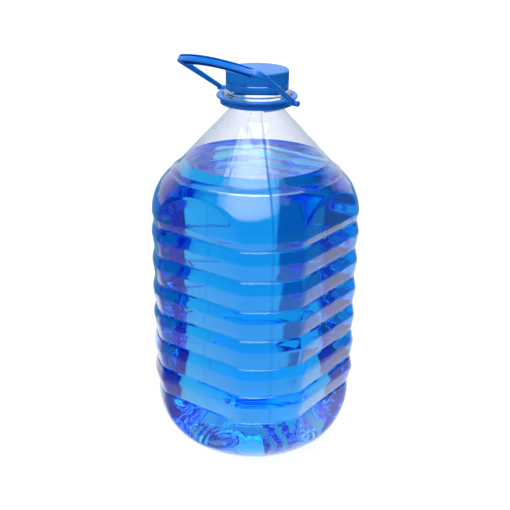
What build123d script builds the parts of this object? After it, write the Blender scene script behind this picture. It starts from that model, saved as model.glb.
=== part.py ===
from build123d import *
import os
from math import asin, atan2, cos, degrees, radians, sin, sqrt, tan

# Washer fluid jug: a clear ribbed bottle of blue fluid with a screw cap and a swinging carrying handle.
# Millimetres, +Z up. The origin is the middle of the base, on the plane that the jug stands on.
# The bottle's flat sides face along X and Y. The handle is drawn with its hinge line along X, then turned.

# Bottle body: a round form cut by four flat sides
wall = 0.5
flat_depth = 10.0
groove_radius = 85.0
rib_height = 2.4
rib_pitch = 25.2
rib_count = 6
ridge_drop_share = 0.4
groove_fillet = 1.6
ridge_fillet = 8.0

# Bottle heel and base
heel_top_height = 42.0
heel_top_inset = 0.7
heel_groove_inset = 1.3
heel_groove_rise = 6.8
heel_arc_extra = 4.5
foot_fillet = 9.0
standing_width = 8.6
push_up_height = 12.0

# Bottle dome, cone and neck
dome_swell = 1.7
dome_foot_rise = 7.0
dome_arc_radius = 41.0
cone_angle = 42.8
shoulder_step_inset = 6.6
shoulder_step = 0.5
neck_radius = 22.4
neck_wall = 2.1
neck_fillet = 6.0
bead_reach = 4.9
bead_rise = 10.6
bead_height = 2.4
bead_fillet = 0.5
lock_bead_reach = 1.0
lock_bead_rise = 4.8
lock_bead_height = 1.8
lip_rise = 9.4

# Fluid
fluid_rise = 8.6
fluid_gap = 0.05

# Cap, its liner and the tamper band
thread_height = 1.35
thread_clearance = 0.3
liner_thickness = 1.2
liner_clearance = 0.3
cap_panel = 1.6
cap_skirt_wall = 1.2
cap_skirt_depth = 10.0
cap_edge_fillet = 1.3
knurl_count = 120
knurl_depth = 0.4
knurl_top_margin = 1.4
band_gap = 0.9
band_height = 4.8
band_clearance = 0.25
band_lip_height = 1.2
band_lip_clearance = 0.3
band_edge_fillet = 0.35

# Handle collar under the support bead
collar_clearance = 0.3
collar_side_clearance = 0.9
collar_floor = 1.6
collar_wall = 1.5
collar_height = 7.2
collar_rise = 1.2
collar_lip_reach = 3.0
collar_lip_thickness = 2.2
collar_lip_fillet = 0.9
tooth_count = 18
tooth_slot_width = 3.0

# Hinge lugs and the swinging loop
handle_turn = -7.3
lug_radius = 2.3
lug_length = 3.3
pin_radius = 1.1
pin_length = 5.0
hinge_clearance = 0.05
hinge_gap = 0.3
eye_radius = 2.3
eye_length = 7.5
eye_nub = 2.6
loop_spread = 4.6
loop_reach = 64.6
loop_bow = 10.5
loop_corner = 9.0
loop_lean = 33.0
strap_thickness = 2.4
strap_height = 4.0
grip_end_inset = 5.8
grip_width = 8.4
grip_height = 5.6
grip_wall = 1.7
grip_edge_fillet = 0.7

# Extra length of cutting tools past the faces that they cut, and how closely edges are picked
overrun = 5.0
pick_tolerance = 0.05

slope = radians(cone_angle)
heel_top_radius = groove_radius - heel_top_inset
heel_groove_radius = groove_radius - heel_groove_inset
heel_arc_radius = heel_top_height + heel_arc_extra
top_groove_height = heel_top_height + heel_groove_rise + rib_count * rib_pitch
dome_radius = groove_radius + dome_swell
dome_foot_height = top_groove_height + dome_foot_rise
shoulder_step_radius = dome_radius - dome_arc_radius * (1 - cos(slope)) - shoulder_step_inset
shoulder_step_height = dome_foot_height + dome_arc_radius * sin(slope) + shoulder_step_inset / tan(slope)
cone_foot_radius = shoulder_step_radius - shoulder_step * cos(slope)
cone_foot_height = shoulder_step_height - shoulder_step * sin(slope)
neck_foot_height = cone_foot_height + (cone_foot_radius - neck_radius) / tan(slope)
fluid_level = shoulder_step_height + fluid_rise
neck_bore_radius = neck_radius - neck_wall
bead_radius = neck_radius + bead_reach
bead_base_height = neck_foot_height + bead_rise
bead_top = bead_base_height + bead_height
lock_bead_radius = neck_radius + lock_bead_reach
lock_bead_base_height = bead_top + lock_bead_rise
lock_bead_top = lock_bead_base_height + lock_bead_height
lip_height = lock_bead_top + lip_rise
total_height = lip_height + liner_thickness + cap_panel
cap_bore_radius = neck_radius + thread_height + thread_clearance
cap_radius = cap_bore_radius + cap_skirt_wall
cap_bottom = total_height - cap_skirt_depth
band_top = cap_bottom - band_gap
band_bottom = band_top - band_height
collar_floor_top = bead_base_height - collar_clearance
collar_top = collar_floor_top + collar_rise
collar_bottom = collar_top - collar_height
collar_inner_radius = bead_radius + collar_side_clearance
collar_skirt_radius = collar_inner_radius + collar_wall
collar_radius = collar_skirt_radius + collar_lip_reach
hinge_height = collar_top - collar_lip_thickness / 2
lug_root = collar_skirt_radius - collar_wall / 2
lug_reach = collar_radius + lug_length
eye_start = lug_reach + hinge_gap
eye_end = eye_start + eye_length
loop_hinge_half_width = eye_end - eye_nub
loop_grip_half_width = loop_hinge_half_width + loop_spread
loop_shoulder = loop_reach - loop_bow
bow_radius = (loop_grip_half_width ** 2 + loop_bow ** 2) / (2 * loop_bow)
grip_half_length = loop_grip_half_width - grip_end_inset


def groove_height(index):
    """Height of one groove between the ribs, counted from the top one."""
    return top_groove_height - index * rib_pitch


def rib_points(inset):
    """Outline of heel top, ribs and dome foot as radius and height, with the fillet at each inner point."""
    points = [(heel_top_radius - inset, heel_top_height)]
    fillets = []
    for index in range(rib_count, -1, -1):
        radius = heel_groove_radius if index == rib_count else groove_radius
        points.append((radius - inset, groove_height(index)))
        fillets.append(groove_fillet)
        if index:
            ridge_height = groove_height(index - 1) - ridge_drop_share * rib_pitch
            points.append((groove_radius + rib_height - inset, ridge_height))
            fillets.append(ridge_fillet)
    points.append((dome_radius - inset, dome_foot_height))
    return points, fillets


def round_form(inset, throat_radius, top):
    """Body of revolution from the base to a straight throat, drawn the inset inside the bottle's skin."""
    heel_centre = (heel_top_radius - heel_arc_radius, heel_top_height)
    foot_drop = heel_top_height - foot_fillet
    foot_out = sqrt((heel_arc_radius - foot_fillet) ** 2 - foot_drop ** 2)
    foot_centre = (heel_centre[0] + foot_out, foot_fillet)
    standing_inner_radius = foot_centre[0] - standing_width
    heel_turn = degrees(atan2(foot_drop, foot_out))
    push_up_radius = (standing_inner_radius ** 2 + push_up_height ** 2) / (2 * push_up_height)
    push_up_turn = degrees(asin(standing_inner_radius / push_up_radius))
    ribs, fillets = rib_points(inset)
    dome_centre = (dome_radius - dome_arc_radius, dome_foot_height)
    dome_top = (
        dome_centre[0] + (dome_arc_radius - inset) * cos(slope),
        dome_centre[1] + (dome_arc_radius - inset) * sin(slope),
    )
    step_outer = (shoulder_step_radius, dome_top[1] + (dome_top[0] - shoulder_step_radius) / tan(slope))
    step_inner = (step_outer[0] - shoulder_step * cos(slope), step_outer[1] - shoulder_step * sin(slope))
    throat_foot = (throat_radius, step_inner[1] + (step_inner[0] - throat_radius) / tan(slope))
    outline = [
        CenterArc((0, inset + push_up_height - push_up_radius), push_up_radius, 90, -push_up_turn),
        Line((standing_inner_radius, inset), (foot_centre[0], inset)),
        CenterArc(foot_centre, foot_fillet - inset, -90, 90 - heel_turn),
        CenterArc(heel_centre, heel_arc_radius - inset, -heel_turn, heel_turn),
        FilletPolyline(*ribs, radius=fillets),
        CenterArc(dome_centre, dome_arc_radius - inset, 0, cone_angle),
        Polyline(dome_top, step_outer, step_inner),
        FilletPolyline(step_inner, throat_foot, (throat_radius, top), radius=neck_fillet),
        Polyline((throat_radius, top), (0, top), (0, inset + push_up_height)),
    ]
    return revolve(Plane.XZ * make_face(outline), Axis.Z)


def side_cutter(inset):
    """What lies outside one flat, ribbed side of the bottle, the inset inside its skin."""
    ribs, fillets = rib_points(inset + flat_depth)
    low = (ribs[0][0], -overrun)
    high = (ribs[-1][0], lip_height)
    far = dome_radius + overrun
    outline = [
        Polyline(low, ribs[0]),
        FilletPolyline(*ribs, radius=fillets),
        Polyline(ribs[-1], high, (far, high[1]), (far, low[1]), low),
    ]
    return extrude(Plane.XZ * make_face(outline), dome_radius + overrun, both=True)


def bottle_form(inset, throat_radius, top):
    """Round form with its four flat sides."""
    form = round_form(inset, throat_radius, top)
    side = side_cutter(inset)
    return form - [Rot(0, 0, 90 * quarter) * side for quarter in range(4)]


def disc(radius, low, high):
    """Plain round disc about the bottle's axis."""
    return Pos(0, 0, (low + high) / 2) * Cylinder(radius, high - low)


def ring(outer_radius, inner_radius, low, high):
    """Plain ring about the bottle's axis."""
    return disc(outer_radius, low, high) - disc(inner_radius, low - overrun, high + overrun)


def circles_at(shape, radius, *heights):
    """Circular edges picked by their radius and the heights that they lie at."""
    edges = shape.edges().filter_by(GeomType.CIRCLE)
    edges = [edge for edge in edges if abs(edge.radius - radius) < pick_tolerance]
    levels = [edge.position_at(0).Z for edge in edges]
    misses = [min(abs(level - height) for height in heights) for level in levels]
    return [edge for edge, miss in zip(edges, misses) if miss < pick_tolerance]


def build_bottle():
    """Blown bottle: thin body, thick neck, support bead for the collar and lock bead for the band."""
    bead = ring(bead_radius, neck_bore_radius, bead_base_height, bead_top)
    bead = fillet(circles_at(bead, bead_radius, bead_base_height, bead_top), bead_fillet)
    lock_bead = ring(lock_bead_radius, neck_bore_radius, lock_bead_base_height, lock_bead_top)
    ramp = (lock_bead_radius - neck_radius) / 2
    lock_bead = chamfer(circles_at(lock_bead, lock_bead_radius, lock_bead_top), ramp)
    skin = bottle_form(0, neck_radius, lip_height) + bead + lock_bead
    return skin - bottle_form(wall, neck_bore_radius, lip_height + overrun)


def build_fluid():
    """Liquid that fills the bottle up to its level."""
    form = bottle_form(wall + fluid_gap, neck_bore_radius, lip_height)
    return form - disc(dome_radius, fluid_level, lip_height + overrun)


def build_cap():
    """Screw cap: panel and skirt with a knurl of fine upright flutes."""
    blank = disc(cap_radius, cap_bottom, total_height)
    blank = fillet(circles_at(blank, cap_radius, total_height), cap_edge_fillet)
    flute = Pos(cap_radius, 0, 0) * disc(knurl_depth, cap_bottom - overrun, total_height - knurl_top_margin)
    flutes = [Rot(0, 0, 360 * index / knurl_count) * flute for index in range(knurl_count)]
    bore = disc(cap_bore_radius, cap_bottom - overrun, total_height - cap_panel)
    return blank - flutes - bore


def build_liner():
    """Foam disc between the cap's panel and the neck's lip."""
    return disc(cap_bore_radius - liner_clearance, lip_height, lip_height + liner_thickness)


def build_band():
    """Tamper band: a plain ring whose inner lip sits under the lock bead."""
    lip_top = band_bottom + band_lip_height
    outer = disc(cap_radius, band_bottom, band_top)
    outer = fillet(circles_at(outer, cap_radius, band_bottom, band_top), band_edge_fillet)
    upper = disc(lock_bead_radius + band_clearance, lip_top, band_top + overrun)
    lower = disc(neck_radius + band_lip_clearance, band_bottom - overrun, lip_top + overrun)
    return outer - upper - lower


def build_collar():
    """Collar of the handle: a cup round the support bead with a rolled lip, a snap floor and two lugs."""
    skirt = ring(collar_skirt_radius, collar_inner_radius, collar_bottom, collar_top)
    lip_low = collar_top - collar_lip_thickness
    lip = ring(collar_radius, collar_inner_radius, lip_low, collar_top)
    lip = fillet(circles_at(lip, collar_radius, lip_low, collar_top), collar_lip_fillet)
    floor_low = collar_floor_top - collar_floor
    floor_radius = collar_inner_radius + collar_wall / 2
    floor = ring(floor_radius, neck_radius + collar_clearance, floor_low, collar_floor_top)
    slot = Box(collar_inner_radius - neck_radius, tooth_slot_width, collar_floor + overrun)
    slot = Pos(neck_radius, 0, (floor_low + collar_floor_top) / 2) * slot
    floor -= [Rot(0, 0, 360 * (index + 1 / 2) / tooth_count) * slot for index in range(tooth_count)]
    collar = skirt + lip + floor
    for side in (-1, 1):
        lug = Cylinder(lug_radius, lug_reach - lug_root)
        pin = Cylinder(pin_radius, pin_length)
        collar += Pos(side * (lug_root + lug_reach) / 2, 0, hinge_height) * Rot(0, 90, 0) * lug
        collar += Pos(side * (lug_reach + pin_length / 2), 0, hinge_height) * Rot(0, 90, 0) * pin
    return Rot(0, 0, handle_turn) * collar


def bow_disc(inset):
    """Round plan whose front edge is the grip's bowed outside, drawn the inset further in."""
    return Pos(0, bow_radius - loop_reach) * Circle(bow_radius - inset)


def loop_face(inset, tail):
    """Plan of the loop with the hinge line along X and the grip at -Y, the inset inside its outside."""
    front = loop_reach + overrun
    spread = (loop_grip_half_width - loop_hinge_half_width) / loop_shoulder
    low = loop_hinge_half_width - inset
    high = low + spread * front
    straps = make_face(Polyline((-low, tail), (low, tail), (high, -front), (-high, -front), close=True))
    face = straps & bow_disc(inset)
    return fillet(face.vertices().sort_by(Axis.Y)[:2], loop_corner - inset)


def grip_window(half_length):
    """Plan of the part of the loop that lies in front of the hinge, between two ends."""
    return Pos(0, -loop_reach / 2 - overrun) * Rectangle(2 * half_length, loop_reach)


def build_loop():
    """Carrying loop: two straps on edge, a channel-section grip and an eye on each hinge pin."""
    band = loop_face(0, 0) - loop_face(strap_thickness, overrun)
    straps = extrude(band, strap_height / 2, both=True)
    grip_plan = (loop_face(0, 0) - bow_disc(grip_width)) & grip_window(grip_half_length)
    grip = extrude(grip_plan, grip_height / 2, both=True)
    edges = circles_at(grip, bow_radius, -grip_height / 2, grip_height / 2)
    edges += circles_at(grip, bow_radius - grip_width, grip_height / 2)
    grip = fillet(edges, grip_edge_fillet)
    channel_plan = bow_disc(grip_wall) - bow_disc(grip_width - grip_wall)
    channel_plan = channel_plan & grip_window(grip_half_length - grip_wall)
    channel = extrude(channel_plan, grip_height - grip_wall + overrun)
    channel = Pos(0, 0, -grip_height / 2 - overrun) * channel
    loop = straps + grip
    for side in (-1, 1):
        eye = Cylinder(eye_radius, eye_end - eye_start)
        loop += Pos(side * (eye_start + eye_end) / 2, 0, 0) * Rot(0, 90, 0) * eye
    for side in (-1, 1):
        hole = Cylinder(pin_radius + hinge_clearance, pin_length + overrun)
        loop -= Pos(side * (eye_start + (pin_length - overrun) / 2), 0, 0) * Rot(0, 90, 0) * hole
    loop -= channel
    return Rot(0, 0, handle_turn) * Pos(0, 0, hinge_height) * Rot(-loop_lean, 0, 0) * loop


nodes = {
    "bottle": build_bottle(),
    "washer_fluid": build_fluid(),
    "screw_cap": build_cap(),
    "cap_liner": build_liner(),
    "tamper_band": build_band(),
    "handle_ring": build_collar(),
    "handle_bail": build_loop(),
}

os.makedirs("parts", exist_ok=True)
for name, shape in nodes.items():
    export_step(shape, f"parts/{name}.step")
    print(name, len(shape.solids()), shape.is_valid, round(shape.volume))
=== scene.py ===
from math import asin, atan2, cos, hypot, pi, radians, sin, sqrt, tan

import bmesh
import bpy
from bpy.props import FloatProperty, FloatVectorProperty, IntProperty, PointerProperty
from mathutils import Matrix, Vector


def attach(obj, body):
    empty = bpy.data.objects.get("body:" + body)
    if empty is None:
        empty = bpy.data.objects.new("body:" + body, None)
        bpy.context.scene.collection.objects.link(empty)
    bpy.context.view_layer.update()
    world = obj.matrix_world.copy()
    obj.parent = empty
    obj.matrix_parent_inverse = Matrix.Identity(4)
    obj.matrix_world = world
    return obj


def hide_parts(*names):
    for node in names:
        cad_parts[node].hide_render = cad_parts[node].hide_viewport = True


bl_info = {
    "name": "Washer Fluid Jug",
    "version": (1, 0, 0),
    "blender": (4, 5, 0),
    "location": "View3D > Sidebar > Jug",
    "description": "Models a clear ribbed jug of blue washer fluid with its screw cap and carrying handle",
    "category": "Object",
}

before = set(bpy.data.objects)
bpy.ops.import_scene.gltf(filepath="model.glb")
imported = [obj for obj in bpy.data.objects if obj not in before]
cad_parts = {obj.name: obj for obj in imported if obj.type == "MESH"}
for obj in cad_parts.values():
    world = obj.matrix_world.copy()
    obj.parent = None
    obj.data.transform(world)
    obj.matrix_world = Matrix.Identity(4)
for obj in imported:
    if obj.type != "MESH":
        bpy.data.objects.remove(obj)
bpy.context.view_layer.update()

# Faces that meet at a larger angle than this show a sharp edge
sharp_edge = radians(38)
# Rounding of a round bar's rims, as a share of its radius
bar_rounding = 0.16
# Roundings of the neck's lip, outside and inside, of its beads, and the slope of the lock bead's top
lip_round, mouth_round, bead_round, lock_round, lock_slope = 0.0006, 0.0008, 0.0007, 0.0002, 0.0005
# How far the thick neck reaches below the support bead
neck_drop = 0.008
# Threads round the neck, the part of a turn that each runs, and its start over the lock bead
thread_starts, thread_turn, thread_rise = 3, 0.42, 0.0017
# How far a thread's root lies inside the neck, and half its width at root and crest
thread_sink, thread_root, thread_crest = 0.0003, 0.0009, 0.0003
# Width and fall of the steep part of the fluid's curved rim, and of the whole rim
rim_width, rim_drop, dip_width, dip = 0.0015, 0.0007, 0.004, 0.0011
# Bevel of the cap's foot, run-out of a flute, and half its width as a share of its pitch
foot_bevel, knurl_run, flute_half = 0.0003, 0.0005, 0.4
# Room round the neck and round its lock bead
neck_gap, lock_gap = 0.0003, 0.00025
# Roundings of the liner, the collar, its rolled lip and the straps
liner_round, collar_round, roll_round, strap_edge = 0.0002, 0.0005, 0.0009, 0.0005
# How far teeth and pins reach into what carries them, and a tooth's width as a share of its pitch
tooth_root, pin_root, tooth_width = 0.0007, 0.0005, 0.68
# Share of its height that the strap keeps inside the grip
strap_pinch = 0.4
# Painted shade along the parting line, where the wall's reflection is cut out: its core, clear of
# reflection, and faded edge, as shares of its width, and how far it fades below the dome
parting_core, parting_edge, parting_fade = 0.2, 0.55, 0.75
# Distance above and below the fluid's level over which the wall turns from wet to dry
dry_band = 0.001
# Depths under the fluid's rim where the waves of its surface start and are full
wave_start, wave_full = 0.0015, 0.0012
# Radius of the floor, and height, setback and width of the top light
floor_radius, lamp_height, lamp_back, lamp_width = 4, 2.2, 0.3, 2.4
# Steps round the bottle, and the longest line of its outline that isn't divided
bottle_steps, longest_line = 160, 0.004
# Place and radius of each air bubble in the fluid
bubbles = (
    ((-0.0102, -0.0744, 0.2106), 0.0012),
    ((0.0035, -0.0745, 0.2128), 0.0005),
    ((0.0070, -0.0746, 0.2124), 0.0004),
    ((0.0740, 0.0150, 0.1420), 0.0006),
)
# Soft edges of the pool of light painted on the floor as a lit table top, and of the painted shadow in it,
# to the right of the jug or behind it
table_edges = {
    "beside": (-0.068, -0.048),
    "near": (0.23, 0.26),
    "front": (-0.45, -0.43),
    "left": (-0.46, -0.44),
    "right": (0.42, 0.44),
    "lee side": (0.08, 0.12),
    "lee back": (0.18, 0.24),
}


def size(name, description, millimetres):
    """Length property whose default is given in millimetres."""
    length = millimetres / 1000
    return FloatProperty(name=name, description=description, default=length, precision=5, unit="LENGTH")


def angle(name, description, degrees):
    """Angle property whose default is given in degrees."""
    return FloatProperty(name=name, description=description, default=radians(degrees), subtype="ANGLE")


def share(name, description, default):
    """Plain number property."""
    return FloatProperty(name=name, description=description, default=default)


def count(name, description, default):
    """Whole number property."""
    return IntProperty(name=name, description=description, default=default)


def colour(name, description, *linear):
    """Colour property in linear light."""
    return FloatVectorProperty(
        name=name, description=description, default=linear, subtype="COLOR", min=0, max=1
    )


class BottleSizes(bpy.types.PropertyGroup):
    wall: size("Wall", "Thickness of the blown wall", 0.5)
    flat_depth: size("Flat depth", "How far each flat side lies inside the round form", 10)
    groove_radius: size("Groove radius", "Radius of the grooves between the ribs", 85)
    rib_height: size("Rib height", "How far a rib's ridge stands out of its grooves", 2.4)
    rib_pitch: size("Rib pitch", "Height from one groove to the next", 25.2)
    rib_count: count("Ribs", "Number of ribs below the dome", 6)
    ridge_drop: size("Ridge drop", "Height from a groove down to the ridge below it", 10.08)
    top_groove: size("Top groove", "Height of the groove under the dome", 200)
    notch_width: size("Notch width", "Width of the fine notch at the bottom of a groove", 2.2)
    notch_depth: size("Notch depth", "Depth of the fine notch at the bottom of a groove", 0.8)
    ridge_fillet: size("Ridge fillet", "Rounding of a ridge", 8)
    edge_hardness: share("Edge hardness", "How sharply the flat sides meet the corners", 190)
    heel_groove_radius: size("Heel groove radius", "Radius of the lowest groove", 83.7)
    heel_radius: size("Heel radius", "Radius where the heel starts to round", 84.3)
    heel_height: size("Heel height", "Height where the heel starts to round", 42)
    heel_arc: size("Heel arc", "Rounding of the heel", 46.5)
    foot_fillet: size("Foot fillet", "Rounding of the foot", 9)
    standing_radius: size("Standing radius", "Inner radius of the ring that the jug stands on", 47.01)
    push_up: size("Push-up", "Height of the pushed-up middle of the base", 12)
    dome_radius: size("Dome radius", "Radius at the foot of the dome", 86.7)
    dome_rise: size("Dome rise", "Height from the top groove to the foot of the dome", 7)
    dome_arc: size("Dome arc", "Rounding of the dome", 41)
    cone_angle: angle("Cone angle", "Tilt of the cone's face back from the upright", 42.8)
    step_radius: size("Step radius", "Radius of the edge between dome and cone", 70.4)
    step: size("Step", "Depth of the cone's face below the dome's", 1.1)
    ledge: size("Ledge", "Length of the ledge from the edge to the cone's face", 6.5)
    edge_bead: size("Edge bead", "How far the edge between dome and cone stands out", 0.35)
    neck_radius: size("Neck radius", "Outer radius of the neck", 22.4)
    bore_radius: size("Bore radius", "Inner radius of the neck", 20.3)
    neck_fillet: size("Neck fillet", "Rounding from cone to neck", 6)
    bead_radius: size("Bead radius", "Radius of the neck's support bead", 27.3)
    bead_base: size("Bead base", "Height of the support bead's underside", 302.37)
    bead_top: size("Bead top", "Height of the support bead's top", 304.77)
    lock_radius: size("Lock bead radius", "Radius of the bead that holds the tamper band", 23.4)
    lock_base: size("Lock bead base", "Height of the lock bead's underside", 309.57)
    lock_top: size("Lock bead top", "Height of the lock bead's top", 311.37)
    lip_height: size("Lip height", "Height of the neck's lip", 320.77)
    parting_width: size("Parting line width", "Width of the mould's parting line", 2.6)
    parting_height: size("Parting line height", "How far the parting line stands out of the wall", 0.35)
    nub_radius: size("Nub radius", "Size of the nub where the parting line crosses a groove", 0.8)
    thread_lead: size("Thread lead", "Rise of the thread in one turn", 9)
    thread_height: size("Thread height", "How far the thread stands out of the neck", 1.2)
    fluid_level: size("Fluid level", "Height of the fluid's rim at the wall", 250.58)
    fluid_gap: size("Fluid gap", "Room between the fluid and the wall", 0.05)


class CapSizes(bpy.types.PropertyGroup):
    radius: size("Radius", "Outer radius of cap and band", 25.25)
    bore_radius: size("Bore radius", "Inner radius of the cap's skirt", 24.05)
    top: size("Top", "Height of the cap's top", 323.57)
    bottom: size("Bottom", "Height of the skirt's lower edge", 313.57)
    panel: size("Panel", "Thickness of the cap's top", 1.6)
    edge_fillet: size("Edge fillet", "Rounding of the cap's top edge", 1.3)
    knurl_count: count("Knurl", "Number of flutes round the skirt", 120)
    knurl_depth: size("Knurl depth", "Depth of a flute", 0.4)
    knurl_margin: size("Knurl margin", "Height from the flutes' upper ends to the cap's top", 1.4)
    liner_radius: size("Liner radius", "Radius of the foam liner", 23.75)
    band_top: size("Band top", "Height of the tamper band's upper edge", 313)
    band_bottom: size("Band bottom", "Height of the tamper band's lower edge", 307.87)
    band_lip: size("Band lip", "Height of the band's inner lip", 1.2)
    band_edge: size("Band edge", "Rounding of the band's edges", 0.35)


class HandleSizes(bpy.types.PropertyGroup):
    turn: angle("Turn", "Turn of the handle about the bottle's axis", -7.3)
    collar_inner: size("Collar inner radius", "Inner radius of the collar's skirt", 28.2)
    collar_skirt: size("Collar skirt radius", "Outer radius of the collar's skirt", 29.7)
    collar_radius: size("Collar radius", "Outer radius of the collar's rolled lip", 32.7)
    collar_top: size("Collar top", "Height of the collar's lip", 303.27)
    collar_bottom: size("Collar bottom", "Height of the skirt's lower edge", 296.07)
    lip_thickness: size("Lip thickness", "Thickness of the rolled lip", 2.2)
    floor_top: size("Floor top", "Height of the snap teeth's tops", 302.07)
    floor: size("Floor", "Thickness of the snap teeth", 1.6)
    tooth_count: count("Teeth", "Number of snap teeth under the bead", 18)
    hinge_height: size("Hinge height", "Height of the hinge line", 302.17)
    lug_radius: size("Lug radius", "Radius of a hinge lug", 2.3)
    lug_root: size("Lug root", "Where a lug leaves the collar", 28.95)
    lug_reach: size("Lug reach", "Where a lug ends", 36)
    pin_radius: size("Pin radius", "Radius of a hinge pin", 1.1)
    pin_length: size("Pin length", "How far a pin stands out of its lug", 5)
    eye_start: size("Eye start", "Inner end of the loop's eye", 36.3)
    eye_end: size("Eye end", "Outer end of the loop's eye", 43.8)
    hinge_half: size("Hinge half width", "Half the loop's width at its hinge", 41.2)
    grip_half: size("Grip half width", "Half the loop's width at its grip", 45.8)
    reach: size("Reach", "From the hinge line to the outside of the grip", 64.6)
    bow: size("Bow", "How far the grip bows out", 10.5)
    corner: size("Corner", "Rounding from strap to grip", 9)
    lean: angle("Lean", "Angle of the resting loop above the level", 33)
    strap_thickness: size("Strap thickness", "Thickness of a strap", 2.4)
    strap_height: size("Strap height", "Height of a strap at its hinge", 3.5)
    strap_flare: size("Strap flare", "How much higher a strap is at the grip", 1.7)
    grip_length: size("Grip half length", "Half the length of the channel grip", 40)
    grip_width: size("Grip width", "Width of the channel grip", 8.4)
    grip_height: size("Grip height", "Height of the channel grip", 5.6)
    grip_wall: size("Grip wall", "Thickness of the grip's walls", 1.7)
    grip_edge: size("Grip edge", "Rounding of the grip's edges", 0.75)
    slot_drop: size("Slot drop", "Height of the rim over the slot along the grip's outside", 0.8)
    slot_width: size("Slot width", "Width of the slot along the grip's outside", 1.2)
    slot_depth: size("Slot depth", "Depth of the slot along the grip's outside", 1.3)


class Finishes(bpy.types.PropertyGroup):
    wet_mirror: share("Wet mirror", "Share of light that the wall mirrors where fluid wets it", 0.006)
    dry_mirror: share("Dry mirror", "Share of light that the wall mirrors where it is dry", 0.022)
    bead_mirror: share("Bead mirror", "Share that the edge between dome and cone adds to it", 0.13)
    glance_mirror: share("Glance mirror", "Share of light that the wall mirrors at a glance", 0.9)
    fluid_tint: colour("Fluid tint", "Colour that the fluid lets through", 0.0, 0.77, 0.985)
    fluid_density: share("Fluid density", "How strongly the fluid takes light", 27)
    cap_blue: colour("Cap blue", "Moulded blue of cap and band", 0.004, 0.125, 0.44)
    cap_roughness: share("Cap roughness", "Roughness of cap and band", 0.34)
    handle_blue: colour("Handle blue", "Moulded blue of collar and loop", 0.004, 0.132, 0.5)
    handle_roughness: share("Handle roughness", "Roughness of collar and loop", 0.3)
    foam: colour("Foam", "Colour of the cap's liner", 0.84, 0.84, 0.80)
    # Colours of the light painted on the floor for rays other than the camera's: its bright pool as a table
    # top, and the dim floor beyond
    table: colour("Table", "Light from the table top round the jug", 1, 1, 1)
    floor: colour("Floor", "Light from the floor beyond the table", 0.1, 0.34, 0.55)
    room: colour("Room", "Light from the dim room", 0.03, 0.16, 0.36)


class StageSizes(bpy.types.PropertyGroup):
    azimuth: angle("Azimuth", "Camera's turn round the jug", 35.767)
    pitch: angle("Pitch", "Camera's tilt down", 21.81)
    roll: angle("Roll", "Camera's roll", 0.75)
    distance: size("Distance", "Level distance from the jug's axis to the camera", 766.26)
    height: size("Height", "Camera's height over the floor", 470.76)
    lens: share("Lens", "Focal length in millimetres on a 36 mm sensor", 68.2)
    window_height: angle("Window height", "Angle of the soft window in front over the floor", 58)
    window_aside: share("Window aside", "How far the window lies to the left", 0.13)
    window_level: share("Window level", "Strength of the window's light", 9)
    top_power: share("Top power", "Power of the top light in watts", 28)


class JugSettings(bpy.types.PropertyGroup):
    bottle: PointerProperty(type=BottleSizes)
    cap: PointerProperty(type=CapSizes)
    handle: PointerProperty(type=HandleSizes)
    finishes: PointerProperty(type=Finishes)
    stage: PointerProperty(type=StageSizes)


class Outline:
    """Chain of vertices drawn in the XZ plane, radius against height."""

    def __init__(self, bm, radius, height):
        self.bm = bm
        self.tip = bm.verts.new((radius, 0, height))

    def line(self, *points):
        """Lines through points; the last vertex is returned."""
        for radius, height in points:
            self.tip = bmesh.ops.extrude_vert_indiv(self.bm, verts=[self.tip])["verts"][0]
            self.tip.co = (radius, 0, height)
        return self.tip

    def corners(self, *points):
        """Lines through points; all their vertices are returned."""
        return [self.line(point) for point in points]

    def arc(self, centre, turn, steps):
        """Arc about a centre, anticlockwise for a positive turn."""
        pivot = (centre[0], 0, centre[1])
        grown = bmesh.ops.spin(
            self.bm, geom=[self.tip], cent=pivot, axis=(0, -1, 0), angle=turn, steps=steps
        )
        self.tip = [item for item in grown["geom_last"] if isinstance(item, bmesh.types.BMVert)][0]


def round_corners(bm, corners, offset, segments):
    """Rounds corners of an outline before it is spun."""
    bmesh.ops.bevel(
        bm, geom=corners, offset=offset, affect="VERTICES", segments=segments, profile=0.5, material=-1
    )


def round_edges(bm, edges, offset):
    """Rounds edges of a solid."""
    bmesh.ops.bevel(bm, geom=edges, offset=offset, affect="EDGES", segments=3, profile=0.5, material=-1)


def whole(bm):
    """All that a bmesh holds."""
    return bm.verts[:] + bm.edges[:] + bm.faces[:]


def spin(bm, geom, turn, steps, **options):
    """Spins geometry about the bottle's axis."""
    bmesh.ops.spin(bm, geom=geom, cent=(0, 0, 0), axis=(0, 0, 1), angle=turn, steps=steps, **options)


def repeat_round(bm, times):
    """Repeats all that a bmesh holds at even steps round the bottle's axis."""
    spin(bm, whole(bm), 2 * pi - 2 * pi / times, times - 1, use_duplicate=True)


def rotate(bm, verts, turn):
    """Turns vertices about the bottle's axis."""
    bmesh.ops.rotate(bm, verts=verts, cent=(0, 0, 0), matrix=Matrix.Rotation(turn, 3, "Z"))


def weld(bm):
    """Closes seams and poles and turns all faces outward."""
    bmesh.ops.remove_doubles(bm, verts=bm.verts[:], dist=1e-6)
    bmesh.ops.dissolve_degenerate(bm, dist=1e-7, edges=bm.edges[:])
    bmesh.ops.recalc_face_normals(bm, faces=bm.faces[:])


def turn_round(bm, steps, longest=1):
    """Divides an outline's long lines, spins it about the bottle's axis and closes it."""
    lines = [edge for edge in bm.edges if edge.calc_length() > longest]
    bmesh.ops.subdivide_edges(bm, edges=lines, cuts=2)
    spin(bm, whole(bm), 2 * pi, steps, use_merge=True)
    weld(bm)


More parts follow.
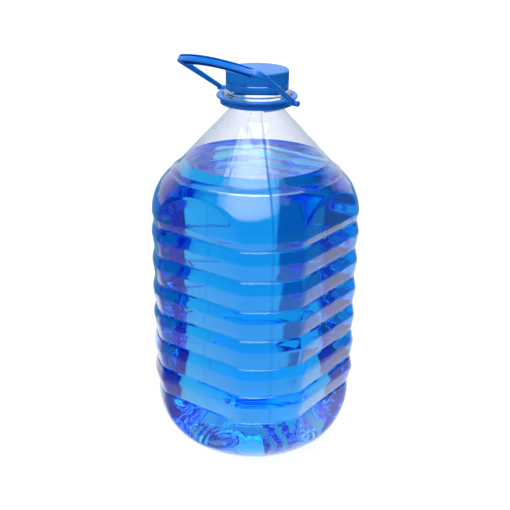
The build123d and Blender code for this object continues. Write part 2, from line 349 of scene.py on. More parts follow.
def finish_piece(name, bm, materials, body, nodes):
    """Turns a bmesh into a piece that rides on a body and stands for CAD nodes."""
    for face in bm.faces:
        face.smooth = True
    for edge in bm.edges:
        edge.smooth = edge.calc_face_angle(0) < sharp_edge
    mesh = bpy.data.meshes.new(name)
    bm.to_mesh(mesh)
    bm.free()
    for material in materials:
        mesh.materials.append(material)
    piece = bpy.data.objects.new(name, mesh)
    bpy.context.scene.collection.objects.link(piece)
    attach(piece, body)
    if nodes:
        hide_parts(*nodes)


def join(bm, other):
    """Adds another bmesh to this one and frees it."""
    part = bpy.data.meshes.new("part")
    other.to_mesh(part)
    other.free()
    bm.from_mesh(part)
    bpy.data.meshes.remove(part)


def edge_height(sizes):
    """Height of the edge between dome and cone."""
    slope = sizes.cone_angle
    reach = sizes.dome_radius - sizes.dome_arc * (1 - cos(slope)) - sizes.step_radius
    return sizes.top_groove + sizes.dome_rise + sizes.dome_arc * sin(slope) + reach / tan(slope)


def skin_outline(bm, sizes, inset):
    """Draws the blown form from the middle of the base to the cone, the inset inside its skin."""
    heel = (sizes.heel_radius - sizes.heel_arc, sizes.heel_height)
    foot_drop = sizes.heel_height - sizes.foot_fillet
    foot_out = sqrt((sizes.heel_arc - sizes.foot_fillet) ** 2 - foot_drop ** 2)
    heel_turn = atan2(foot_drop, foot_out)
    push_radius = (sizes.standing_radius ** 2 + sizes.push_up ** 2) / (2 * sizes.push_up)
    slope = sizes.cone_angle
    outline = Outline(bm, 0, inset + sizes.push_up)
    outline.arc((0, inset + sizes.push_up - push_radius), -asin(sizes.standing_radius / push_radius), 12)
    outline.line((heel[0] + foot_out, inset))
    outline.arc((heel[0] + foot_out, sizes.foot_fillet), pi / 2 - heel_turn, 8)
    outline.arc(heel, heel_turn, 14)
    notches, ridges = [], []
    half = sizes.notch_width / 2
    ridge_rise = sizes.rib_pitch - sizes.ridge_drop
    for index in range(sizes.rib_count, -1, -1):
        radius = (sizes.heel_groove_radius if index == sizes.rib_count else sizes.groove_radius) - inset
        height = sizes.top_groove - index * sizes.rib_pitch
        upward = sizes.rib_height / sizes.ridge_drop if index < sizes.rib_count else 0
        downward = sizes.rib_height / ridge_rise
        notches += outline.corners(
            (radius + upward * half, height - half),
            (radius - sizes.notch_depth, height - half / 4),
            (radius - sizes.notch_depth, height + half / 4),
            (radius + downward * half, height + half),
        )
        if index:
            ridge = sizes.groove_radius + sizes.rib_height - inset
            ridges.append(outline.line((ridge, height + ridge_rise)))
    dome = (sizes.dome_radius - sizes.dome_arc, sizes.top_groove + sizes.dome_rise)
    outline.line((sizes.dome_radius - inset, dome[1]))
    outline.arc(dome, slope, 20)
    top = outline.tip.co.copy()
    uphill = Vector((-sin(slope), cos(slope)))
    inward = Vector((-cos(slope), -sin(slope)))
    edge = Vector((sizes.step_radius, top.z + (top.x - sizes.step_radius) / tan(slope)))
    outline.line(edge - uphill * sizes.edge_bead)
    bead = outline.line(edge - inward * sizes.edge_bead)
    ledge = outline.line(edge + uphill * sizes.ledge + inward * sizes.step)
    outline.line(edge + uphill * 2 * sizes.ledge + inward * sizes.step)
    turn = atan2(sizes.rib_height, sizes.ridge_drop) + atan2(sizes.rib_height, ridge_rise)
    round_corners(bm, [bead], sizes.edge_bead, 4)
    round_corners(bm, [ledge], sizes.ledge / 3, 4)
    round_corners(bm, notches, half / 4, 2)
    round_corners(bm, ridges, sizes.ridge_fillet * tan(turn / 2), 5)
    return outline


def press_flats(bm, sizes, inset):
    """Presses the four flat sides into a round form."""
    dome_foot = sizes.top_groove + sizes.dome_rise
    hard = sizes.edge_hardness
    for vert in bm.verts:
        radius = hypot(vert.co.x, vert.co.y)
        if radius < sizes.standing_radius or vert.co.z > sizes.bead_base:
            continue
        if vert.co.z > dome_foot:
            flat = sizes.dome_radius - inset - sizes.flat_depth
        elif vert.co.z < sizes.heel_height:
            flat = sizes.heel_radius - inset - sizes.flat_depth
        else:
            flat = radius - sizes.flat_depth
        reach = [radius] + [flat * radius / abs(side) for side in vert.co.xy if abs(side) > flat / 2]
        least = min(reach)
        kept = least * sum((least / far) ** hard for far in reach) ** (-1 / hard) / radius
        vert.co.x *= kept
        vert.co.y *= kept


def run_up_neck(outline, sizes, radius):
    """Runs an outline up the cone and round into a straight neck of a radius."""
    start = outline.tip.co.copy()
    slope = sizes.cone_angle
    foot = start.z + (start.x - radius) / tan(slope)
    reach = sizes.neck_fillet * tan(slope / 2)
    outline.line((radius + reach * sin(slope), foot - reach * cos(slope)))
    outline.arc((radius + sizes.neck_fillet, foot + reach), -slope, 6)


class JUG_OT_bottle(bpy.types.Operator):
    """Blow the clear ribbed bottle, outside and inside, with its neck and beads"""

    bl_idname = "washer_jug.bottle"
    bl_label = "Bottle"

    def neck(self, bm, outline, sizes):
        """Outside of the neck, from the support bead to the lip."""
        radius, lip = sizes.neck_radius, sizes.lip_height - lip_round
        bead = outline.corners(
            (radius, sizes.bead_base),
            (sizes.bead_radius, sizes.bead_base),
            (sizes.bead_radius, sizes.bead_top),
            (radius, sizes.bead_top),
        )
        lock = outline.corners(
            (radius, sizes.lock_base),
            (sizes.lock_radius, sizes.lock_base),
            (sizes.lock_radius, sizes.lock_top - lock_slope),
            (radius, sizes.lock_top),
        )
        outline.line((radius, lip))
        outline.arc((radius - lip_round, lip), pi / 2, 4)
        round_corners(bm, bead, bead_round, 4)
        round_corners(bm, lock, lock_round, 2)

    def bore(self, outline, sizes):
        """Inside of the neck, up to the lip."""
        radius, lip = sizes.bore_radius, sizes.lip_height - mouth_round
        outline.line((radius, lip))
        outline.arc((radius + mouth_round, lip), -pi / 2, 4)

    def execute(self, context):
        sizes = context.scene.washer_jug.bottle
        skins = bmesh.new()
        for inset, radius in ((0, sizes.neck_radius), (sizes.wall, sizes.bore_radius)):
            bm = bmesh.new()
            outline = skin_outline(bm, sizes, inset)
            run_up_neck(outline, sizes, radius)
            if inset:
                self.bore(outline, sizes)
            else:
                self.neck(bm, outline, sizes)
            turn_round(bm, bottle_steps, longest_line)
            press_flats(bm, sizes, inset)
            join(skins, bm)
        bmesh.ops.bridge_loops(skins, edges=[edge for edge in skins.edges if edge.is_boundary])
        bmesh.ops.recalc_face_normals(skins, faces=skins.faces[:])
        neck_foot = sizes.bead_base - neck_drop
        for face in skins.faces:
            face.material_index = 1 if face.calc_center_median().z > neck_foot else 0
        finish_piece("bottle_skin", skins, [clear_pet(), neck_pet()], "bottle", ["bottle"])
        return {"FINISHED"}


class JUG_OT_parting(bpy.types.Operator):
    """Raise the mould's parting line down two corners, with a nub where it crosses each groove"""

    bl_idname = "washer_jug.parting"
    bl_label = "Parting line"

    def execute(self, context):
        sizes = context.scene.washer_jug.bottle
        bm = bmesh.new()
        outline = skin_outline(bm, sizes, 0)
        run_up_neck(outline, sizes, sizes.neck_radius)
        half_turn = sizes.parting_width / sizes.groove_radius / 2
        spin(bm, whole(bm), 2 * half_turn, 2)
        rotate(bm, bm.verts[:], -half_turn)
        for vert in bm.verts:
            if abs(vert.co.y) < 1e-7:
                vert.co.x += sizes.parting_height
        for index in range(sizes.rib_count + 1):
            height = sizes.top_groove - index * sizes.rib_pitch
            place = Matrix.Translation((sizes.groove_radius, 0, height)) @ Matrix.Diagonal((0.6, 1.4, 1, 1))
            bmesh.ops.create_uvsphere(
                bm, u_segments=16, v_segments=10, radius=sizes.nub_radius, matrix=place
            )
        rotate(bm, bm.verts[:], -pi / 4)
        repeat_round(bm, 2)
        finish_piece("parting_line", bm, [clear_pet()], "bottle", [])
        return {"FINISHED"}


class JUG_OT_thread(bpy.types.Operator):
    """Wind the three-start thread round the neck"""

    bl_idname = "washer_jug.thread"
    bl_label = "Neck thread"

    def execute(self, context):
        sizes = context.scene.washer_jug.bottle
        bm = bmesh.new()
        steps = 40
        rise = sizes.thread_lead * thread_turn / steps
        low = sizes.lock_top + thread_rise
        root, crest = sizes.neck_radius - thread_sink, sizes.neck_radius + sizes.thread_height
        for start in range(thread_starts):
            corners = (
                (root, low - thread_root),
                (crest, low - thread_crest),
                (crest, low + thread_crest),
                (root, low + thread_root),
            )
            verts = [bm.verts.new((radius, 0, height)) for radius, height in corners]
            face = bm.faces.new(verts)
            rotate(bm, verts, start * 2 * pi / thread_starts)
            spin(bm, [face], 2 * pi * thread_turn, steps, dvec=(0, 0, rise))
        weld(bm)
        finish_piece("neck_thread", bm, [neck_pet()], "bottle", [])
        return {"FINISHED"}


class JUG_OT_fluid(bpy.types.Operator):
    """Fill the bottle with blue fluid up to its level, with a few air bubbles on the wall"""

    bl_idname = "washer_jug.fluid"
    bl_label = "Fluid"

    def execute(self, context):
        sizes = context.scene.washer_jug.bottle
        bm = bmesh.new()
        inset = sizes.wall + sizes.fluid_gap
        outline = skin_outline(bm, sizes, inset)
        cone, level = outline.tip.co.copy(), sizes.fluid_level
        rim = cone.x - (level - cone.z) * tan(sizes.cone_angle)
        outline.line((rim, level), (rim - rim_width, level - rim_drop))
        outline.line((rim - dip_width, level - dip), (0, level - dip))
        turn_round(bm, bottle_steps, longest_line)
        press_flats(bm, sizes, inset)
        for place, radius in bubbles:
            made = bmesh.ops.create_uvsphere(
                bm, u_segments=20, v_segments=12, radius=radius, matrix=Matrix.Translation(place)
            )["verts"]
            bmesh.ops.reverse_faces(bm, faces=list({face for vert in made for face in vert.link_faces}))
        finish_piece("blue_fluid", bm, [blue_fluid()], "bottle", ["washer_fluid"])
        return {"FINISHED"}


class JUG_OT_cap(bpy.types.Operator):
    """Mould the knurled screw cap, its foam liner and the tamper band"""

    bl_idname = "washer_jug.cap"
    bl_label = "Cap, liner and band"

    def knurled_cap(self, sizes):
        """One flute's slice of the cap, repeated round the axis."""
        bm = bmesh.new()
        edge, bevel = sizes.edge_fillet, foot_bevel
        outline = Outline(bm, 0, sizes.top)
        outline.line((sizes.radius / 2, sizes.top), (sizes.radius - edge, sizes.top))
        outline.arc((sizes.radius - edge, sizes.top - edge), -pi / 2, 6)
        knurl_top = sizes.top - sizes.knurl_margin
        outline.line((sizes.radius, knurl_top), (sizes.radius, knurl_top - knurl_run))
        outline.line((sizes.radius, (sizes.top + sizes.bottom) / 2), (sizes.radius, sizes.bottom + bevel))
        outline.line((sizes.radius - bevel, sizes.bottom), (sizes.bore_radius, sizes.bottom))
        outline.line((sizes.bore_radius, sizes.top - sizes.panel), (0, sizes.top - sizes.panel))
        slice_turn = 2 * pi / sizes.knurl_count
        spin(bm, whole(bm), slice_turn, 4)
        mid_skirt = (sizes.radius + sizes.bore_radius) / 2
        for vert in bm.verts:
            radius = hypot(vert.co.x, vert.co.y)
            if radius > mid_skirt and vert.co.z < knurl_top - knurl_run / 2:
                across = abs(atan2(vert.co.y, vert.co.x) / slice_turn - 0.5)
                depth = sizes.knurl_depth * max(0, 1 - across / flute_half)
                vert.co.xy *= 1 - depth / radius
        repeat_round(bm, sizes.knurl_count)
        weld(bm)
        return bm

    def foam_liner(self, sizes, bottle):
        """Disc between the neck's lip and the cap's top."""
        bm = bmesh.new()
        top = sizes.top - sizes.panel
        outline = Outline(bm, 0, bottle.lip_height)
        rim = outline.corners((sizes.liner_radius, bottle.lip_height), (sizes.liner_radius, top))
        outline.line((0, top))
        round_corners(bm, rim, liner_round, 2)
        turn_round(bm, 96)
        return bm

    def tamper_band(self, sizes, bottle):
        """Ring round the lock bead with a lip under it."""
        bm = bmesh.new()
        lip_top = sizes.band_bottom + sizes.band_lip
        lip_radius, bore = bottle.neck_radius + neck_gap, bottle.lock_radius + lock_gap
        outline = Outline(bm, lip_radius, sizes.band_bottom)
        first = outline.tip
        edges = outline.corners((sizes.radius, sizes.band_bottom), (sizes.radius, sizes.band_top))
        outline.line((bore, sizes.band_top), (bore, lip_top), (lip_radius, lip_top))
        bm.edges.new((outline.tip, first))
        round_corners(bm, edges, sizes.band_edge, 3)
        turn_round(bm, 144)
        return bm

    def execute(self, context):
        settings = context.scene.washer_jug
        sizes, bottle, finishes = settings.cap, settings.bottle, settings.finishes
        blue = moulded_blue("cap blue", finishes.cap_blue, finishes.cap_roughness)
        finish_piece("cap", self.knurled_cap(sizes), [blue], "screw_cap", ["screw_cap"])
        liner = self.foam_liner(sizes, bottle)
        finish_piece("liner", liner, [foam(finishes.foam)], "cap_liner", ["cap_liner"])
        band = self.tamper_band(sizes, bottle)
        finish_piece("band", band, [blue], "bottle", ["tamper_band"])
        return {"FINISHED"}


def add_round_bar(bm, radius, start, end, height):
    """Round bar along X at a height, with rounded rims."""
    made = bmesh.ops.create_cone(
        bm, cap_ends=True, segments=40, radius1=radius, radius2=radius, depth=abs(end - start)
    )["verts"]
    edges = {edge for vert in made for edge in vert.link_edges}
    rims = [edge for edge in edges if abs(edge.verts[0].co.z - edge.verts[1].co.z) < 1e-6]
    place = Matrix.Translation(((start + end) / 2, 0, height)) @ Matrix.Rotation(pi / 2, 4, "Y")
    bmesh.ops.transform(bm, matrix=place, verts=made)
    round_edges(bm, rims, radius * bar_rounding)


class JUG_OT_collar(bpy.types.Operator):
    """Mould the collar with its rolled lip, snap teeth and hinge lugs"""

    bl_idname = "washer_jug.collar"
    bl_label = "Collar"

    def ring(self, sizes):
        """Skirt and rolled lip."""
        bm = bmesh.new()
        lip_low = sizes.collar_top - sizes.lip_thickness
        outline = Outline(bm, sizes.collar_inner, sizes.collar_bottom)
        first = outline.tip
        skirt_foot = outline.line((sizes.collar_skirt, sizes.collar_bottom))
        outline.line((sizes.collar_skirt, (sizes.collar_bottom + lip_low) / 2))
        under_lip = outline.line((sizes.collar_skirt, lip_low))
        rolled = outline.corners((sizes.collar_radius, lip_low), (sizes.collar_radius, sizes.collar_top))
        inner_edge = outline.line((sizes.collar_inner, sizes.collar_top))
        bm.edges.new((inner_edge, first))
        round_corners(bm, [skirt_foot, under_lip, inner_edge], collar_round, 3)
        round_corners(bm, rolled, roll_round, 5)
        turn_round(bm, 144)
        return bm

    def teeth(self, sizes, neck_radius):
        """Snap teeth that reach in under the support bead."""
        bm = bmesh.new()
        tip, root = neck_radius + neck_gap, sizes.collar_inner + tooth_root
        low, high = sizes.floor_top - sizes.floor, sizes.floor_top
        corners = ((tip, low), (root, low), (root, high), (tip, high))
        face = bm.faces.new([bm.verts.new((radius, 0, height)) for radius, height in corners])
        width = tooth_width * 2 * pi / sizes.tooth_count
        rotate(bm, bm.verts[:], -width / 2)
        spin(bm, [face], width, 4)
        repeat_round(bm, sizes.tooth_count)
        bmesh.ops.recalc_face_normals(bm, faces=bm.faces[:])
        return bm

    def execute(self, context):
        settings = context.scene.washer_jug
        sizes, finishes = settings.handle, settings.finishes
        bm = self.ring(sizes)
        join(bm, self.teeth(sizes, settings.bottle.neck_radius))
        pin_start, pin_end = sizes.lug_reach - pin_root, sizes.lug_reach + sizes.pin_length
        for side in (-1, 1):
            for radius, start, end in (
                (sizes.lug_radius, sizes.lug_root, sizes.lug_reach),
                (sizes.pin_radius, pin_start, pin_end),
            ):
                add_round_bar(bm, radius, side * start, side * end, sizes.hinge_height)
        rotate(bm, bm.verts[:], sizes.turn)
        blue = moulded_blue("handle blue", finishes.handle_blue, finishes.handle_roughness)
        finish_piece("collar", bm, [blue], "handle_ring", ["handle_ring"])
        return {"FINISHED"}


class JUG_OT_loop(bpy.types.Operator):
    """Mould the carrying loop with its straps, channel grip and eyes"""

    bl_idname = "washer_jug.loop"
    bl_label = "Carrying loop"

    def strap_line(self, bm, sizes, bow_radius, inset):
        """Line from hinge to hinge round the loop, the inset inside its outer face."""
        centre = Vector((0, sizes.reach - bow_radius))
        side = Vector((sizes.grip_half - sizes.hinge_half, sizes.reach - sizes.bow)).normalized()
        inward = Vector((-side.y, side.x))
        corner = sizes.corner - inset
        foot = Vector((sizes.hinge_half - inset, 0))
        lead = foot + inward * corner - centre
        far = bow_radius - inset - corner
        run = sqrt(lead.dot(side) ** 2 - lead.length_squared + far ** 2) - lead.dot(side)
        bend = lead + side * run
        sweep = bend.angle(-inward)
        span = atan2(bend.x, bend.y)
        outline = Outline(bm, *foot)
        outline.line(*[foot.lerp(bend + centre - inward * corner, step / 6) for step in range(1, 7)])
        outline.arc(bend + centre, sweep, 8)
        outline.arc(centre, 2 * span, 40)
        outline.arc((-bend.x, bend.y + centre.y), sweep, 8)
        start = Vector((outline.tip.co.x, outline.tip.co.z))
        outline.line(*[start.lerp((-foot.x, 0), step / 6) for step in range(1, 7)])

    def straps(self, sizes, bow_radius):
        """Band from hinge to hinge, flared towards the grip and narrow inside it."""
        bm = bmesh.new()
        for inset in (0, sizes.strap_thickness):
            self.strap_line(bm, sizes, bow_radius, inset)
        faces = bmesh.ops.bridge_loops(bm, edges=bm.edges[:])["faces"]
        bmesh.ops.translate(bm, verts=bm.verts[:], vec=(0, -sizes.strap_height / 2, 0))
        raised = bmesh.ops.extrude_face_region(bm, geom=faces)
        up = [item for item in raised["geom"] if isinstance(item, bmesh.types.BMVert)]
        bmesh.ops.translate(bm, verts=up, vec=(0, sizes.strap_height, 0))
        bmesh.ops.recalc_face_normals(bm, faces=bm.faces[:])
        round_edges(bm, [edge for edge in bm.edges if edge.calc_face_angle(0) > 1], strap_edge)
        for vert in bm.verts:
            if abs(vert.co.x) < sizes.grip_length - sizes.grip_wall:
                vert.co.y *= strap_pinch
            else:
                vert.co.y *= 1 + sizes.strap_flare / sizes.strap_height * vert.co.z / sizes.reach
        return bm

    def grip(self, bm, sizes, bow_radius):
        """Channel of the grip and the two walls that close its ends."""
        half, wall = sizes.grip_height / 2, sizes.grip_wall
        out, back = sizes.reach, sizes.reach - sizes.grip_width
        high, deep = half - sizes.slot_drop, out - sizes.slot_depth
        low = high - sizes.slot_width
        rim = [(half, out), (half, back), (-half, back)]
        front = [(-half, out), (low, out), (low, deep), (high, deep), (high, out)]
        top, near, far = half - wall, back + wall, out - wall
        channel = [(-half, near), (top, near), (top, far), (-half, far)]
        end = asin(sizes.grip_length / bow_radius)
        close = wall / bow_radius
        pivot = (0, 0, sizes.reach - bow_radius)
        for points, start, sweep, steps in (
            (rim + channel + front, -end, 2 * end, 48),
            (rim + front, -end, close, 2),
            (rim + front, end - close, close, 2),
        ):
            bar = bmesh.new()
            verts = [bar.verts.new((0, height, depth)) for height, depth in points]
            for first, last in zip(verts, verts[1:] + verts[:1]):
                bar.edges.new((first, last))
            round_corners(bar, [*verts[:3], verts[-len(front)]], sizes.grip_edge, 4)
            turn = Matrix.Rotation(start, 3, "Y")
            bmesh.ops.rotate(bar, verts=bar.verts[:], cent=pivot, matrix=turn)
            bmesh.ops.spin(bar, geom=whole(bar), cent=pivot, axis=(0, 1, 0), angle=sweep, steps=steps)
            bmesh.ops.holes_fill(bar, edges=bar.edges[:])
            bmesh.ops.recalc_face_normals(bar, faces=bar.faces[:])
            join(bm, bar)

    def execute(self, context):
        settings = context.scene.washer_jug
        sizes, finishes = settings.handle, settings.finishes
        bow_radius = (sizes.grip_half ** 2 + sizes.bow ** 2) / (2 * sizes.bow)
        bm = self.straps(sizes, bow_radius)
        self.grip(bm, sizes, bow_radius)
        for side in (-1, 1):
            add_round_bar(bm, sizes.lug_radius, side * sizes.eye_start, side * sizes.eye_end, 0)
        place = (
            Matrix.Rotation(sizes.turn, 4, "Z")
            @ Matrix.Translation((0, 0, sizes.hinge_height))
            @ Matrix.Rotation(pi / 2 - sizes.lean, 4, "X")
        )
        bmesh.ops.transform(bm, matrix=place, verts=bm.verts[:])
        blue = moulded_blue("handle blue", finishes.handle_blue, finishes.handle_roughness)
        finish_piece("carrying_loop", bm, [blue], "handle_bail", ["handle_bail"])
        return {"FINISHED"}


class Shading:
    """Node tree under construction, with short ways to add to it."""

    def __init__(self, tree):
        self.nodes, self.links = tree.nodes, tree.links
        self.nodes.clear()

    def add(self, kind, inputs=None, **options):
        """Node of a kind, with its options, and each input set to a value or linked to an output."""
        node = self.nodes.new("ShaderNode" + kind)
        for name, value in options.items():
            setattr(node, name, value)
        for name, value in (inputs or {}).items():
            if isinstance(value, bpy.types.NodeSocket):
                self.links.new(value, node.inputs[name])
            else:
                node.inputs[name].default_value = value
        return node.outputs

    def ramp(self, value, low, high, low_level=0, high_level=1):
        """Smooth step of a value between two levels."""
        levels = {"From Min": low, "From Max": high, "To Min": low_level, "To Max": high_level}
        return self.add("MapRange", {"Value": value, **levels}, interpolation_type="SMOOTHSTEP")["Result"]

    def along(self, vector, heading):
        """Share of a vector along a heading."""
        return self.add("VectorMath", {0: vector, 1: heading}, operation="DOT_PRODUCT")["Value"]

    def vector(self, operation, *parts):
        """Vector that an operation makes of others."""
        return self.add("VectorMath", dict(enumerate(parts)), operation=operation)[0]

    def blend(self, operation, *parts):
        """Value that an operation makes of one or two others."""
        return self.add("Math", dict(enumerate(parts)), operation=operation)[0]

    def tint(self, factor, low, high):
        """Colour between two colours by a factor."""
        low, high = (end if isinstance(end, bpy.types.NodeSocket) else (*end, 1) for end in (low, high))
        return self.add("Mix", {"Factor": factor, "A": low, "B": high}, data_type="RGBA")["Result"]

    def noise(self, where, scale, detail):
        """Noise at a place."""
        return self.add("TexNoise", {"Vector": where, "Scale": scale, "Detail": detail})["Fac"]

    def bump(self, height, strength, distance):
        """Normal that a height raises."""
        return self.add("Bump", {"Height": height, "Strength": strength, "Distance": distance})["Normal"]

    def mix(self, factor, first, second):
        """Shader between two shaders by a factor."""
        return self.add("MixShader", {0: factor, 1: first, 2: second})[0]


def new_material(name):
    """New material, its empty node tree and the Object coordinates in it."""
    material = bpy.data.materials.new(name)
    material.use_nodes = True
    tree = Shading(material.node_tree)
    return material, tree, tree.add("TexCoord")["Object"]


def clear_pet():
    """Thin clear wall with faint waves of blowing, which mirrors more at a glance and where it is dry, with
    painted shade along the parting line.
    """
    if "clear pet" in bpy.data.materials:
        return bpy.data.materials["clear pet"]
    settings = bpy.context.scene.washer_jug
    sizes, finishes = settings.bottle, settings.finishes
    material, tree, where = new_material("clear pet")
    height = tree.along(where, (0, 0, 1))
    facing = tree.add("LayerWeight", {"Blend": 0.5})["Facing"]

    low, high = sizes.fluid_level - dry_band, sizes.fluid_level + dry_band
    dry = tree.ramp(height, low, high, finishes.wet_mirror, finishes.dry_mirror)
    apart = tree.blend("ABSOLUTE", tree.blend("SUBTRACT", height, edge_height(sizes)))
    bead = tree.ramp(apart, sizes.edge_bead, 2 * sizes.edge_bead, finishes.bead_mirror, 0)
    levels = {"To Min": tree.blend("ADD", dry, bead), "To Max": finishes.glance_mirror}
    mirror = tree.add("MapRange", {"Value": tree.blend("POWER", facing, 5), **levels})["Result"]

    # Painted shade along the mould's parting line: no reflection there, and a grey-blue tint on what the
    # wall lets through; kept faint below the dome
    across = tree.blend("ABSOLUTE", tree.along(where, (sqrt(0.5), sqrt(0.5), 0)))
    beside = tree.ramp(across, sizes.parting_width * parting_core, sizes.parting_width * parting_edge)
    fade_top = sizes.top_groove + 2 * sizes.dome_rise
    below = tree.ramp(height, sizes.top_groove, fade_top, parting_fade, 0)
    beside = tree.blend("MAXIMUM", beside, below)
    shade = tree.tint(tree.blend("POWER", facing, 2.5), (0.95, 0.955, 0.955), (0.75, 0.77, 0.8))
    through = tree.add("BsdfTransparent", {"Color": tree.tint(beside, (0.86, 0.9, 0.94), shade)})[0]

    round_way = tree.vector("NORMALIZE", tree.vector("MULTIPLY", where, (1, 1, 0)))
    waves = tree.noise(tree.vector("MULTIPLY_ADD", where, (2, 2, 4), round_way), 9, 2)
    wavy = {"Normal": tree.bump(waves, 0.3, 0.002)}
    gloss = tree.add("BsdfGlossy", {"Color": (1, 1, 1, 1), "Roughness": 0.07, **wavy})[0]
    skin = tree.mix(tree.blend("MULTIPLY", mirror, beside), through, gloss)
    tree.add("OutputMaterial", {"Surface": skin})
    return material


def neck_pet():
    """Thick clear moulding of the neck, which bends what is seen through it."""
    if "neck pet" in bpy.data.materials:
        return bpy.data.materials["neck pet"]
    material, tree, _ = new_material("neck pet")
    clear = {"Base Color": (0.95, 0.97, 0.98, 1), "Transmission Weight": 1}
    glass = tree.add("BsdfPrincipled", {**clear, "Roughness": 0.03, "IOR": 1.25})[0]
    tree.add("OutputMaterial", {"Surface": glass})
    return material


def blue_fluid():
    """Clear blue liquid that takes more light the deeper it is, with waves on its surface."""
    settings = bpy.context.scene.washer_jug
    finishes, level = settings.finishes, settings.bottle.fluid_level
    material, tree, where = new_material("blue fluid")
    height = tree.along(where, (0, 0, 1))
    surface = tree.ramp(height, level - wave_start, level - wave_full, 0, 0.6)
    wavy = {"Normal": tree.bump(tree.noise(where, 32, 1), surface, 0.004)}
    clear = {"Base Color": (1, 1, 1, 1), "Transmission Weight": 1}
    body = tree.add("BsdfPrincipled", {**clear, "Roughness": 0, "IOR": 1.34, **wavy})[0]
    glow = tree.add("BsdfTransparent", {"Color": (0.88, 0.95, 0.99, 1)})[0]
    lit = tree.mix(tree.add("LightPath")["Is Shadow Ray"], body, glow)
    taken = {"Color": (*finishes.fluid_tint, 1), "Density": finishes.fluid_density}
    tree.add("OutputMaterial", {"Surface": lit, "Volume": tree.add("VolumeAbsorption", taken)[0]})
    return material


def moulded_blue(name, base, roughness):
    """Moulded plastic with flow marks in its colour and a fine uneven gloss."""
    if name in bpy.data.materials:
        return bpy.data.materials[name]
    material, tree, where = new_material(name)
    dark, light = [part * 0.86 for part in base], [min(1, part * 1.12) for part in base]
    grain = tree.noise(where, 1400, 3)
    dull = {"Value": grain, "To Min": roughness - 0.06, "To Max": roughness + 0.08}
    plastic = {
        "Base Color": tree.tint(tree.noise(where, 90, 4), dark, light),
        "Roughness": tree.add("MapRange", dull)["Result"],
        "IOR": 1.5,
        "Specular IOR Level": 0.32,
        "Normal": tree.bump(grain, 0.1, 0.0001),
    }
    tree.add("OutputMaterial", {"Surface": tree.add("BsdfPrincipled", plastic)[0]})
    return material


def foam(base):
    """Pale foam sheet with fine cells."""
    material, tree, where = new_material("liner foam")
    cells = tree.add("TexVoronoi", {"Vector": where, "Scale": 1600})["Distance"]
    sheet = {
        "Base Color": tree.tint(cells, base, [part * 0.85 for part in base]),
        "Roughness": 0.8,
        "Normal": tree.bump(cells, 0.3, 0.0002),
    }
    tree.add("OutputMaterial", {"Surface": tree.add("BsdfPrincipled", sheet)[0]})
    return material


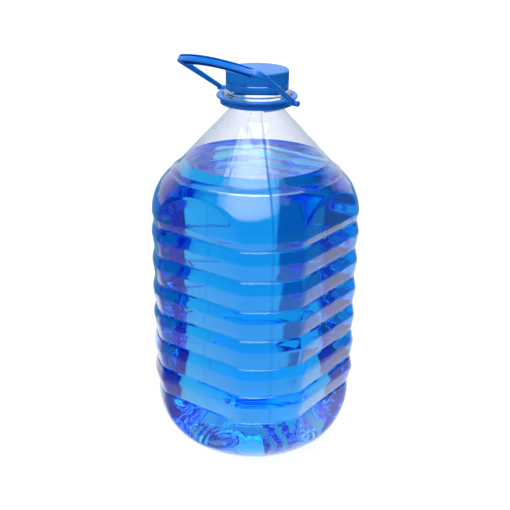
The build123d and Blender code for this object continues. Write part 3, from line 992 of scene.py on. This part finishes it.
class JUG_OT_stage(bpy.types.Operator):
    """Set the camera, the pale floor and the soft studio light"""

    bl_idname = "washer_jug.stage"
    bl_label = "Stage"

    def camera(self, context, stage):
        """Camera that stands where the photograph was taken from."""
        data = bpy.data.cameras.new("camera")
        data.lens = stage.lens
        data.sensor_width = 36
        camera = bpy.data.objects.new("camera", data)
        place = Vector((sin(stage.azimuth), -cos(stage.azimuth), 0)) * stage.distance
        place.z = stage.height
        camera.matrix_world = (
            Matrix.Translation(place)
            @ Matrix.Rotation(stage.azimuth, 4, "Z")
            @ Matrix.Rotation(pi / 2 - stage.pitch, 4, "X")
            @ Matrix.Rotation(stage.roll, 4, "Z")
        )
        context.scene.collection.objects.link(camera)
        context.scene.camera = camera

    def pale_floor(self, finishes, behind, aside):
        """White to the camera; other rays meet a pool of light painted on it as a lit table top, with a
        painted shadow of the jug for those through the fluid.
        """
        material, tree, where = new_material("pale floor")
        back, right = tree.along(where, behind), tree.along(where, aside)
        rays = tree.add("LightPath")
        # Pool of light painted on the floor as a lit table top, darker beyond its edges
        beside = tree.ramp(right, *table_edges["beside"])
        table = tree.blend("MAXIMUM", beside, tree.ramp(back, *table_edges["near"], 1, 0))
        # Painted shadow of the jug on the table at its right side, only for rays that pass through the
        # fluid
        painted_shadow = tree.ramp(right, *table_edges["lee side"], 1, 0)
        painted_shadow = tree.blend("MAXIMUM", painted_shadow, tree.ramp(back, *table_edges["lee back"]))
        mirrored = tree.blend("SUBTRACT", 1, rays["Is Transmission Ray"])
        for side in (
            tree.ramp(back, *table_edges["front"]),
            tree.ramp(right, *table_edges["left"], 0.3, 1),
            tree.ramp(right, *table_edges["right"], 1, 0),
            tree.blend("MAXIMUM", painted_shadow, mirrored),
        ):
            table = tree.blend("MULTIPLY", table, side)
        # The floor glows with this painted light and shadow for every ray but the camera's
        light = tree.tint(table, finishes.floor, finishes.table)
        lit = tree.add("Emission", {"Color": light, "Strength": 1.12})[0]
        shown = tree.add("Emission", {"Strength": 0.86})[0]
        paper = tree.add("BsdfDiffuse", {"Color": (0.2, 0.2, 0.2, 1)})[0]
        white = tree.add("AddShader", {0: shown, 1: paper})[0]
        tree.add("OutputMaterial", {"Surface": tree.mix(rays["Is Camera Ray"], lit, white)})
        return material

    def floor(self, context, material):
        """Round floor under the jug."""
        bm = bmesh.new()
        bmesh.ops.create_circle(bm, cap_ends=True, segments=96, radius=floor_radius)
        mesh = bpy.data.meshes.new("floor")
        bm.to_mesh(mesh)
        bm.free()
        mesh.materials.append(material)
        floor = bpy.data.objects.new("floor", mesh)
        context.scene.collection.objects.link(floor)

    def top_light(self, context, place, power):
        """Wide soft light over the jug."""
        data = bpy.data.lights.new("top light", "AREA")
        data.shape = "RECTANGLE"
        data.size = data.size_y = lamp_width
        data.energy = power
        lamp = bpy.data.objects.new("top light", data)
        lamp.location = place
        lamp.rotation_euler = (-place).to_track_quat("-Z", "Y").to_euler()
        context.scene.collection.objects.link(lamp)

    def world(self, context, finishes, behind, window, level):
        """Dim room with a bright backdrop behind the jug and a soft window high in front of it."""
        world = bpy.data.worlds.new("studio")
        context.scene.world = world
        world.use_nodes = True
        tree = Shading(world.node_tree)
        where = tree.add("TexCoord")["Generated"]
        backdrop = tree.ramp(tree.along(where, behind), 0.4, 0.65)
        panes = tree.ramp(tree.along(where, window), 0.85, 0.98, 1, level)
        bright = tree.blend("MAXIMUM", backdrop, tree.ramp(panes, 1, 2))
        bright = tree.blend("MAXIMUM", bright, tree.add("LightPath")["Is Camera Ray"])
        room = {"Color": tree.tint(bright, finishes.room, (1, 1, 1)), "Strength": panes}
        tree.add("OutputWorld", {"Surface": tree.add("Background", room)[0]})

    def execute(self, context):
        settings = context.scene.washer_jug
        stage, finishes = settings.stage, settings.finishes
        behind = Vector((-sin(stage.azimuth), cos(stage.azimuth), 0))
        aside = Vector((cos(stage.azimuth), sin(stage.azimuth), 0))
        up = Vector((0, 0, 1))
        window = up * sin(stage.window_height) - behind * cos(stage.window_height)
        window = (window - aside * stage.window_aside).normalized()
        self.camera(context, stage)
        self.floor(context, self.pale_floor(finishes, behind, aside))
        self.world(context, finishes, behind, window, stage.window_level)
        self.top_light(context, up * lamp_height + behind * lamp_back, stage.top_power)
        context.scene.view_settings.view_transform = "Standard"
        context.scene.cycles.max_bounces = 24
        context.scene.cycles.glossy_bounces = 16
        context.scene.cycles.transmission_bounces = 20
        context.scene.cycles.transparent_max_bounces = 24
        return {"FINISHED"}


class JUG_PT_panel(bpy.types.Panel):
    """Pieces of the jug, in the order in which they are made"""

    bl_idname = "JUG_PT_panel"
    bl_label = "Washer Fluid Jug"
    bl_space_type = "VIEW_3D"
    bl_region_type = "UI"
    bl_category = "Jug"

    def draw(self, context):
        for operator in piece_operators:
            self.layout.operator(operator.bl_idname)


piece_operators = (
    JUG_OT_stage,
    JUG_OT_bottle,
    JUG_OT_parting,
    JUG_OT_thread,
    JUG_OT_fluid,
    JUG_OT_cap,
    JUG_OT_collar,
    JUG_OT_loop,
)
groups = (BottleSizes, CapSizes, HandleSizes, Finishes, StageSizes, JugSettings)
classes = (*groups, *piece_operators, JUG_PT_panel)


def register():
    for cls in classes:
        bpy.utils.register_class(cls)
    bpy.types.Scene.washer_jug = PointerProperty(type=JugSettings)


def unregister():
    del bpy.types.Scene.washer_jug
    for cls in reversed(classes):
        bpy.utils.unregister_class(cls)


def main():
    register()
    bpy.ops.washer_jug.stage()
    bpy.ops.washer_jug.bottle()
    bpy.ops.washer_jug.parting()
    bpy.ops.washer_jug.thread()
    bpy.ops.washer_jug.fluid()
    bpy.ops.washer_jug.cap()
    bpy.ops.washer_jug.collar()
    bpy.ops.washer_jug.loop()


if __name__ == "__main__":
    main()
